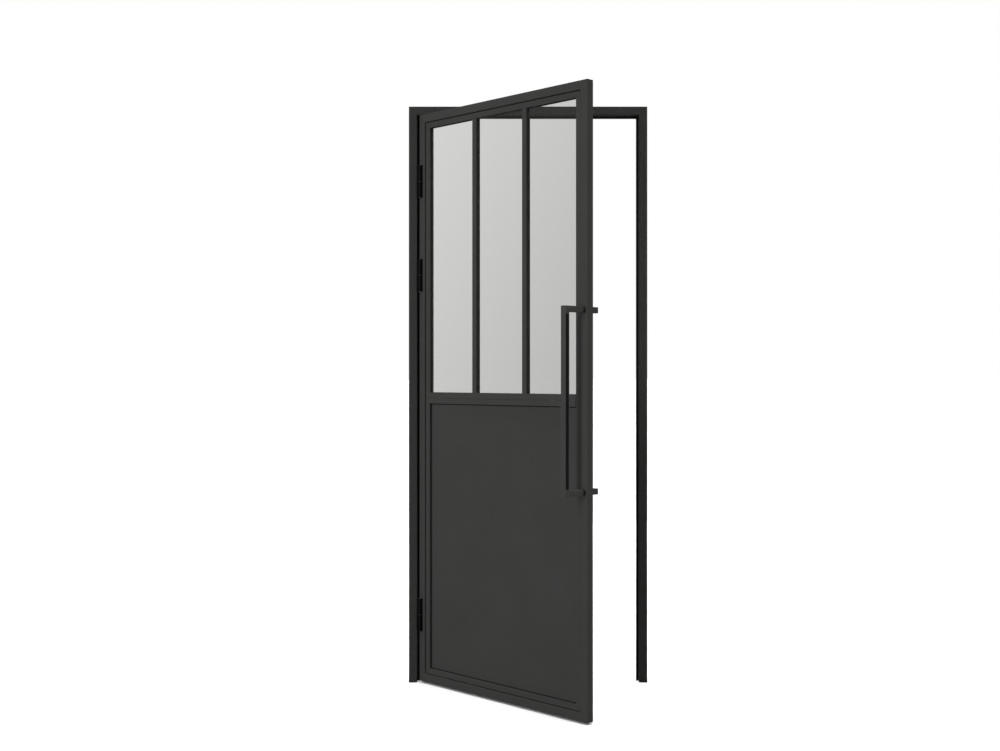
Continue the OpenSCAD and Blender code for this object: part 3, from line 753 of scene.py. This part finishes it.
build_shade_lips()

# %% [markdown]
# A groove 3 mm wide runs round the leaf between its outer band and the inner bars. A black cord of the
# same rubber lies in it, a little below the bars. The cord is painted shade: it makes the groove read as
# one even dark line from every side, darker than the shade in the bare slot. The cord is one more mitred
# strip, with a face that is slightly hollow.

# %% The cord in the groove
BAND_MM = 30.0
GROOVE_MM = 3.0
GROOVE_FLOOR_MM = 10.0
CORD_MM = 4.2
CORD_HOLLOW_MM = 0.4


def build_shade_cord():
    low, high = shut_box("hinge_stile")
    far = shut_box("lock_stile")[1]
    edge = BAND_MM * MM
    across = GROOVE_MM * MM
    thick = CORD_MM * MM
    hollow = thick - CORD_HOLLOW_MM * MM
    profile = [(0.0, 0.0), (across, 0.0), (across, thick), (across / 2, hollow), (0.0, thick)]
    bm = bmesh.new()
    add_mitred_strip(bm, low.x + edge, far.x - edge, low.z + edge, high.z - edge,
                     low.y + GROOVE_FLOOR_MM * MM, profile)
    # Painted shade: a black cord that darkens the groove into one even line.
    make_piece(bm, "groove_shade_cord", "leaf", "black_rubber")


build_shade_cord()

# %% [markdown]
# ## The hinges
#
# Each hinge is a pair of turned knuckles on a pin, one welded to a plate on the jamb and one to an angle
# that sits inside the leaf's tube. A lathe leaves a rounded rim and a shallow dimple on the end of a
# knuckle, and a pressed plate has soft edges. Those are what catch the light on a black hinge, so the
# knuckle is turned here too: rings of growing and shrinking radius up the hinge axis.

# %% A turned knuckle
DIMPLE_FLOOR_MM = 4.0
DIMPLE_RIM_MM = 3.4
DIMPLE_DEPTH_MM = 0.5
INNER_CHAMFER_MM = 0.3
RIM_STEPS = 4


def add_knuckle(bm, radius, outer_z, inner_z):
    up = math.copysign(MM, inner_z - outer_z)
    steps = [(radius - DIMPLE_FLOOR_MM * MM, outer_z + DIMPLE_DEPTH_MM * up),
             (radius - DIMPLE_RIM_MM * MM, outer_z)]
    for i in range(RIM_STEPS + 1):
        angle = math.radians(90 * i / RIM_STEPS)
        steps.append((radius - (1 - math.sin(angle)) * MM, outer_z + (1 - math.cos(angle)) * up))
    steps += [(radius, inner_z - INNER_CHAMFER_MM * up), (radius - INNER_CHAMFER_MM * MM, inner_z)]
    add_skin(bm, [circle(r, pivot.x, pivot.y, z) for r, z in steps])


print("the hinge axis stands at", [round(value, 4) for value in pivot])

# %% [markdown]
# The plates are blocks with soft edges. The frame's half has a plate on the jamb and a lug from it to the
# knuckle. The leaf's half has a web that runs back through the leaf's edge, and an angle inside the
# tube that the screws bite into. The two knuckles are kept apart by the washer.

# %% The hinge halves
PLACES = ("upper", "middle", "lower")
PLATE_MM = 3.0
PLATE_EDGE_MM = 0.4
LUG_HALF_MM = 3.6
LAP_MM = 1
WASHER_PLAY_MM = 0.2
WEB_CLEAR_MM = 2.2
ANGLE_ACROSS_MM = 25.6


def build_hinge(place):
    frame_low, frame_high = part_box(place + "_hinge_frame_half")
    leaf_low, leaf_high = shut_box(place + "_hinge_leaf_half")
    washer_low, washer_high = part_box(place + "_hinge_washer")
    radius = frame_high.x - pivot.x
    lug = LUG_HALF_MM * MM
    plate = PLATE_MM * MM
    edge = PLATE_EDGE_MM * MM
    lap = LAP_MM * MM
    hinge_top = frame_high.z

    bm = bmesh.new()
    add_knuckle(bm, radius, frame_low.z, washer_low.z)
    add_block(bm, Vector((frame_low.x, pivot.y - lug, frame_low.z)),
              Vector((frame_low.x + plate, frame_high.y, hinge_top)), edge)
    add_block(bm, Vector((frame_low.x, pivot.y - lug, frame_low.z)),
              Vector((pivot.x, front_y + lap, washer_low.z)), edge)
    make_piece(bm, place + "_hinge_turned_frame_half", "frame", "hinge_steel", place + "_hinge_frame_half")

    bm = bmesh.new()
    bottom = washer_high.z + WASHER_PLAY_MM * MM
    web = pivot.y + radius + WEB_CLEAR_MM * MM
    add_knuckle(bm, radius, hinge_top, bottom)
    add_block(bm, Vector((pivot.x - lug, pivot.y, bottom)),
              Vector((pivot.x + lug, web + lap, hinge_top)), edge)
    inner_x = leaf_high.x - ANGLE_ACROSS_MM * MM
    add_block(bm, Vector((inner_x, web, leaf_low.z)),
              Vector((leaf_high.x, web + plate, leaf_high.z)), edge)
    add_block(bm, Vector((inner_x, web, leaf_low.z)),
              Vector((inner_x + plate, leaf_high.y, leaf_high.z)), edge)
    make_piece(bm, place + "_hinge_turned_leaf_half", "leaf", "hinge_steel", place + "_hinge_leaf_half")


for place in PLACES:
    build_hinge(place)

# %% [markdown]
# Both ends of a hinge are closed with a thin nylon cap, which keeps dirt off the pin. It is a disc a
# little smaller than the knuckle, with a rounded rim, and it also fills most of the notch that is
# cut in the leaf's edge for the hinge. The lower caps stay with the frame, and the upper ones ride on the
# leaf.

# %% The end caps of the hinges
CAP_MM = 1.6
CAP_INSET_MM = 0.3
CAP_RIM_MM = 0.5
CAP_RIM_MIDDLE_MM = 0.15


def build_caps(name, body, at_top):
    bm = bmesh.new()
    for place in PLACES:
        half_low, half_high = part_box(place + "_hinge_frame_half")
        radius = half_high.x - pivot.x - CAP_INSET_MM * MM
        start = half_high.z if at_top else half_low.z
        up = MM if at_top else -MM
        steps = [(radius, start), (radius, start + (CAP_MM - CAP_RIM_MM) * up),
                 (radius - CAP_RIM_MIDDLE_MM * MM, start + (CAP_MM - CAP_RIM_MIDDLE_MM) * up),
                 (radius - CAP_RIM_MM * MM, start + CAP_MM * up)]
        add_skin(bm, [circle(r, pivot.x, pivot.y, z) for r, z in steps])
    make_piece(bm, name, body, "black_nylon")


build_caps("hinge_foot_caps", "frame", False)
build_caps("hinge_head_caps", "leaf", True)

# %% [markdown]
# ## The hinge screws
#
# Countersunk machine screws hold the hinges. Where each one goes is measured from the drawn screws, which
# are separate solids in one part. They could be split by hand, but a walk from point to point along the
# edges finds them by itself: whatever can be reached is one solid. The list is sorted at the end, so that
# every run of the script gives the same order.

# %% Find the solids in a part
WELD_MM = 0.001


def separate_solids(name, on_leaf):
    bm = bmesh.new()
    bm.from_mesh(nodes[name].data)
    bmesh.ops.remove_doubles(bm, verts=bm.verts, dist=WELD_MM * MM)
    if on_leaf:
        bmesh.ops.transform(bm, matrix=to_shut, verts=bm.verts)
    left = set(bm.verts)
    boxes = []
    while left:
        queue = [left.pop()]
        solid = list(queue)
        while queue:
            for edge in queue.pop().link_edges:
                for vertex in edge.verts:
                    if vertex in left:
                        left.remove(vertex)
                        queue.append(vertex)
                        solid.append(vertex)
        boxes.append(box_of([vertex.co for vertex in solid]))
    bm.free()
    return sorted(boxes, key=lambda box: tuple(box[0]))


print("screws in the frame's hinge halves:", len(separate_solids("hinge_frame_screws", False)))

# %% [markdown]
# The heads lie flush, so all that shows is a ring and the six-lobed drive in its middle. The drive is
# cut to a real depth: rings of six soft lobes go down into the head, and the same row of rings goes
# on over the rim to the cone, the shank and the tip. Each step of that row is a radius, a depth and how
# strong the lobes are.

# %% The screws with their six-lobed drives
DRIVE_LOBE = 0.09
DRIVE_DEPTH_MM = 1.3
DRIVE_EDGE_MM = 0.05
DRIVE_FLOOR = 0.42
DRIVE_WALL = 0.44
DRIVE_MOUTH = 0.5
HEAD_EDGE_MM = 0.15
HEAD_FALL_MM = 0.1
TIP_MM = 0.8
TIP_NARROWING = 0.6


def add_screw(bm, low, high, head_x):
    middle = (low + high) / 2
    head = (high.z - low.z) / 2
    shank = head / 2
    length = high.x - low.x
    inwards = 1 if head_x < middle.x else -1
    steps = [(DRIVE_FLOOR * head, DRIVE_DEPTH_MM * MM, DRIVE_LOBE),
             (DRIVE_WALL * head, DRIVE_EDGE_MM * MM, DRIVE_LOBE),
             (DRIVE_MOUTH * head, 0.0, DRIVE_LOBE),
             (head - HEAD_EDGE_MM * MM, 0.0, 0.0),
             (head, HEAD_FALL_MM * MM, 0.0),
             (shank, head - shank, 0.0),
             (shank, length - TIP_MM * MM, 0.0),
             (shank * TIP_NARROWING, length, 0.0)]
    rings = []
    for radius, depth, lobe in steps:
        flat = circle(radius, 0.0, 0.0, 0.0, lobe)
        rings.append([(head_x + inwards * depth, middle.y + a, middle.z + b) for a, b, _ in flat])
    add_skin(bm, rings)


def build_screws(node, body, head_at_low_x):
    bm = bmesh.new()
    for low, high in separate_solids(node, body == "leaf"):
        add_screw(bm, low, high, low.x if head_at_low_x else high.x)
    make_piece(bm, "driven_" + node, body, "black_screws", node)


build_screws("hinge_frame_screws", "frame", False)
build_screws("hinge_leaf_screws", "leaf", True)

# %% [markdown]
# ## The studio
#
# The door is shown on plain white. If that much white light really fell on it, the black would turn milky.
# So the world shows three faces, and the light path decides which one a ray meets. A ray straight
# from the camera sees pure white. A ray that has come through a pane sees a light grey that darkens
# towards the right and the floor, as a room does. Every other ray, which is the light that reaches the
# paint, sees a dim grey that is a little stronger on the left. A ray that was mirrored inside a pane
# counts as one of the last kind, or each pane would carry a bright veil.
#
# Both greys are ramps: the direction of the ray, measured along one slanting line, gives the level, and
# the level is kept between two limits.

# %% The two grey ramps
WHITE = (1.0, 1.0, 1.0, 1.0)
SKY_LEFT = 0.19
SKY_RIGHT = 0.09
LEFTWARDS = (-0.5, 0.0, 0.0)
GLASS_VIEW = 0.76
GLASS_VIEW_PER_X = -1.2
GLASS_VIEW_PER_Z = 0.58
GLASS_VIEW_LOW = 0.5
GLASS_VIEW_HIGH = 1.0


def clamped_background(tree, level, low, high):
    limited = add(tree, "ShaderNodeMapRange", {"Value": level, "From Min": low, "From Max": high,
                                               "To Min": low, "To Max": high})
    return add(tree, "ShaderNodeBackground", {"Color": WHITE, "Strength": limited.outputs["Result"]})


def light_on_the_paint(tree, way):
    sideways = add(tree, "ShaderNodeVectorMath", {0: way, 1: LEFTWARDS}, operation="DOT_PRODUCT")
    middle = (SKY_LEFT + SKY_RIGHT) / 2
    level = add(tree, "ShaderNodeMath", {0: sideways.outputs["Value"], 1: SKY_LEFT - SKY_RIGHT, 2: middle},
                operation="MULTIPLY_ADD")
    return clamped_background(tree, level.outputs["Value"], SKY_RIGHT, SKY_LEFT)


def view_through_a_pane(tree, way):
    slope = add(tree, "ShaderNodeVectorMath", {0: way, 1: (GLASS_VIEW_PER_X, 0.0, GLASS_VIEW_PER_Z)},
                operation="DOT_PRODUCT")
    shade = add(tree, "ShaderNodeMath", {0: slope.outputs["Value"], 1: GLASS_VIEW}, operation="ADD")
    return clamped_background(tree, shade.outputs["Value"], GLASS_VIEW_LOW, GLASS_VIEW_HIGH)


print("light from all round runs from", SKY_RIGHT, "on the right to", SKY_LEFT, "on the left")

# %% [markdown]
# The world picks between the three with two mixes. The first asks whether the ray came through a pane and
# was never mirrored on its way. The second asks whether it came straight from the camera. The standard
# view transform then shows a white of one as the white of the screen.

# %% The world that shows three faces
BELOW_ONE = 0.5


def build_world():
    world = bpy.data.worlds.new("studio")
    bpy.context.scene.world = world
    world.use_nodes = True
    tree = world.node_tree
    tree.nodes.clear()
    way = add(tree, "ShaderNodeTexCoord").outputs["Generated"]
    path = add(tree, "ShaderNodeLightPath")
    soft = light_on_the_paint(tree, way)
    graded = view_through_a_pane(tree, way)
    white = add(tree, "ShaderNodeBackground", {"Color": WHITE, "Strength": 1.0})
    unmirrored = add(tree, "ShaderNodeMath", {0: path.outputs["Glossy Depth"], 1: BELOW_ONE},
                     operation="LESS_THAN")
    seen_through = add(tree, "ShaderNodeMath", {0: path.outputs["Is Transmission Ray"],
                                                1: unmirrored.outputs["Value"]}, operation="MULTIPLY")
    indirect = add(tree, "ShaderNodeMixShader", {0: seen_through.outputs["Value"],
                                                 1: soft.outputs["Background"],
                                                 2: graded.outputs["Background"]})
    seen = add(tree, "ShaderNodeMixShader", {0: path.outputs["Is Camera Ray"],
                                             1: indirect.outputs["Shader"],
                                             2: white.outputs["Background"]})
    add(tree, "ShaderNodeOutputWorld", {"Surface": seen.outputs["Shader"]})


build_world()
bpy.context.scene.view_settings.view_transform = "Standard"
print("world:", bpy.context.scene.world.name)

# %% [markdown]
# A soft box is an area light: a glowing rectangle that faces the subject. The further it is and the
# larger it is, the more even the light. Four are used here, each placed by how many degrees it
# stands to the left of the camera's line and how high. The key is a tall, narrow strip well left of
# the camera. It faces the turned leaf almost squarely, so the leaf comes out lighter than the frame, and
# the handle casts a soft upright shadow on the stile. A broad box far to the left stands in
# for a pale wall and lights the leaf alone. A weak box on the right lifts the edges that look away from
# the key. One behind the door lights its back. No box is seen by the camera, directly or through a pane,
# and the wall and the box behind aren't mirrored either, or the glass would fill with white. Last,
# a wide sun straight overhead whitens the floor and hardly touches upright faces.

# %% The soft boxes
door_middle = Vector((doorway_x, front_y, door_height / 2))


def direction(degrees_left, degrees_up):
    across = math.radians(degrees_left)
    up = math.radians(degrees_up)
    return Vector((-math.sin(across) * math.cos(up), -math.cos(across) * math.cos(up), math.sin(up)))


def soft_box(name, towards, distance, size, watts, mirrored):
    data = bpy.data.lights.new(name, "AREA")
    data.shape = "RECTANGLE"
    data.size, data.size_y = size
    data.energy = watts
    lamp = bpy.data.objects.new(name, data)
    lamp.location = door_middle + towards * distance
    lamp.rotation_euler = (-towards).to_track_quat("-Z", "Y").to_euler()
    lamp.visible_camera = False
    lamp.visible_transmission = False
    lamp.visible_glossy = mirrored
    bpy.context.scene.collection.objects.link(lamp)


soft_box("key_strip", direction(28, 8), distance=6.0, size=(1.1, 4.5), watts=190, mirrored=True)
soft_box("left_wall", direction(84, 12), distance=4.0, size=(2.5, 3.5), watts=56, mirrored=False)
soft_box("fill_right", direction(-50, 10), distance=5.0, size=(2.5, 3.5), watts=75, mirrored=True)
soft_box("back_fill", direction(195, 12), distance=5.0, size=(3.0, 3.5), watts=130, mirrored=False)

SUN_STRENGTH = 4.0
SUN_DEGREES = 24

sun_data = bpy.data.lights.new("floor_light", "SUN")
sun_data.energy = SUN_STRENGTH
sun_data.angle = math.radians(SUN_DEGREES)
sun = bpy.data.objects.new("floor_light", sun_data)
bpy.context.scene.collection.objects.link(sun)

# %% [markdown]
# The floor is a plain matte sheet, large enough that its edge lies far off. Seen directly it is nearly
# white and takes a soft shadow under the leaf. Light that bounces off it meets a mid grey, or the foot
# of the door would be lit from below far more than by a real studio floor. A ray through a
# pane passes it by and sees the grey of the world, so no horizon cuts across the glass.

# %% The floor
FLOOR_HALF = 400.0
FLOOR_SEEN = "#f6f6f6"
FLOOR_BOUNCE = "#7c7c7c"


def build_floor():
    mesh = bpy.data.meshes.new("floor")
    corners = [(-FLOOR_HALF, -FLOOR_HALF, 0), (FLOOR_HALF, -FLOOR_HALF, 0),
               (FLOOR_HALF, FLOOR_HALF, 0), (-FLOOR_HALF, FLOOR_HALF, 0)]
    mesh.from_pydata(corners, [], [(0, 1, 2, 3)])
    floor = bpy.data.objects.new("floor", mesh)
    bpy.context.scene.collection.objects.link(floor)
    floor.location.z = cad_bounds[0][2]
    material, tree = start_material("white_studio_floor")
    path = add(tree, "ShaderNodeLightPath")
    bounced = add(tree, "ShaderNodeBsdfDiffuse", {"Color": linear(FLOOR_BOUNCE)})
    through_glass = add(tree, "ShaderNodeBsdfTransparent")
    direct = add(tree, "ShaderNodeBsdfDiffuse", {"Color": linear(FLOOR_SEEN)})
    indirect = add(tree, "ShaderNodeMixShader", {0: path.outputs["Is Transmission Ray"],
                                                 1: bounced.outputs["BSDF"],
                                                 2: through_glass.outputs["BSDF"]})
    shown = add(tree, "ShaderNodeMixShader", {0: path.outputs["Is Camera Ray"],
                                              1: indirect.outputs["Shader"],
                                              2: direct.outputs["BSDF"]})
    finish_material(tree, shown)
    mesh.materials.append(material)


build_floor()
print("the floor lies at z =", cad_bounds[0][2])

# %% [markdown]
# ## The camera
#
# The door is seen straight on: the camera is level and square to the frame, a little left of the
# doorway's middle and rather over a metre high, so the frame's edges stay upright and parallel. A focal
# length of about 45 mm at four and a half metres gives the leaf's top and bottom edges their slant.

# %% The camera
CAMERA_BACK = 4.633
CAMERA_HEIGHT = 1.146
CAMERA_LEFT = 0.1048
FOCAL_LENGTH = 44.68
SENSOR_WIDTH = 36.0

camera_data = bpy.data.cameras.new("camera")
camera_data.lens = FOCAL_LENGTH
camera_data.sensor_width = SENSOR_WIDTH
camera = bpy.data.objects.new("camera", camera_data)
camera.location = (doorway_x - CAMERA_LEFT, front_y - CAMERA_BACK, CAMERA_HEIGHT)
camera.rotation_euler = (math.radians(90), 0, 0)
bpy.context.scene.collection.objects.link(camera)
bpy.context.scene.camera = camera
print("camera at", [round(value, 3) for value in camera.location])
